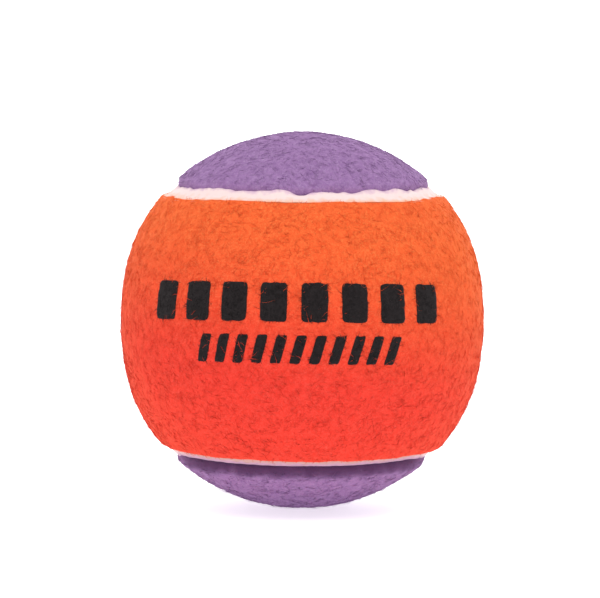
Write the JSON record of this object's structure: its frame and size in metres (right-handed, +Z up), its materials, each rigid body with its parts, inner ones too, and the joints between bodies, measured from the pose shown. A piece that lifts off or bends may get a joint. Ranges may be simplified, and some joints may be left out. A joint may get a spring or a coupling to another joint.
{
  "type": "beach tennis ball",
  "caption": "Hollow rubber ball covered in interlocking orange and purple felt panels, with a pale rubber seam and printed marks, for beach tennis play.",
  "frame": {"origin": "centre of the ball", "axes": "+Z up as shown, -Y out through the printed middle of the orange panel, +X to the viewer's right; the seam runs in planes of constant z where y < 0 and of constant x where y > 0"},
  "size_m": [0.066, 0.066, 0.066],
  "materials": {
    "core_rubber": "matte moulded natural rubber",
    "rubber_cement": "dried rubber cement",
    "orange_felt": "needled wool and nylon nap",
    "purple_felt": "needled wool and nylon nap",
    "seam_rubber": "matte pale rubber",
    "black_ink": "printed nap"
  },
  "bodies": {
    "root": {"core_half_upper": "core_rubber", "core_half_lower": "core_rubber", "core_joint_cement": "rubber_cement", "core_cement_coat": "rubber_cement", "orange_felt_panel": "orange_felt", "purple_felt_panel": "purple_felt", "seam_rubber": "seam_rubber", "print_upper_row": "black_ink", "print_lower_row": "black_ink"}
  },
  "joints": []
}
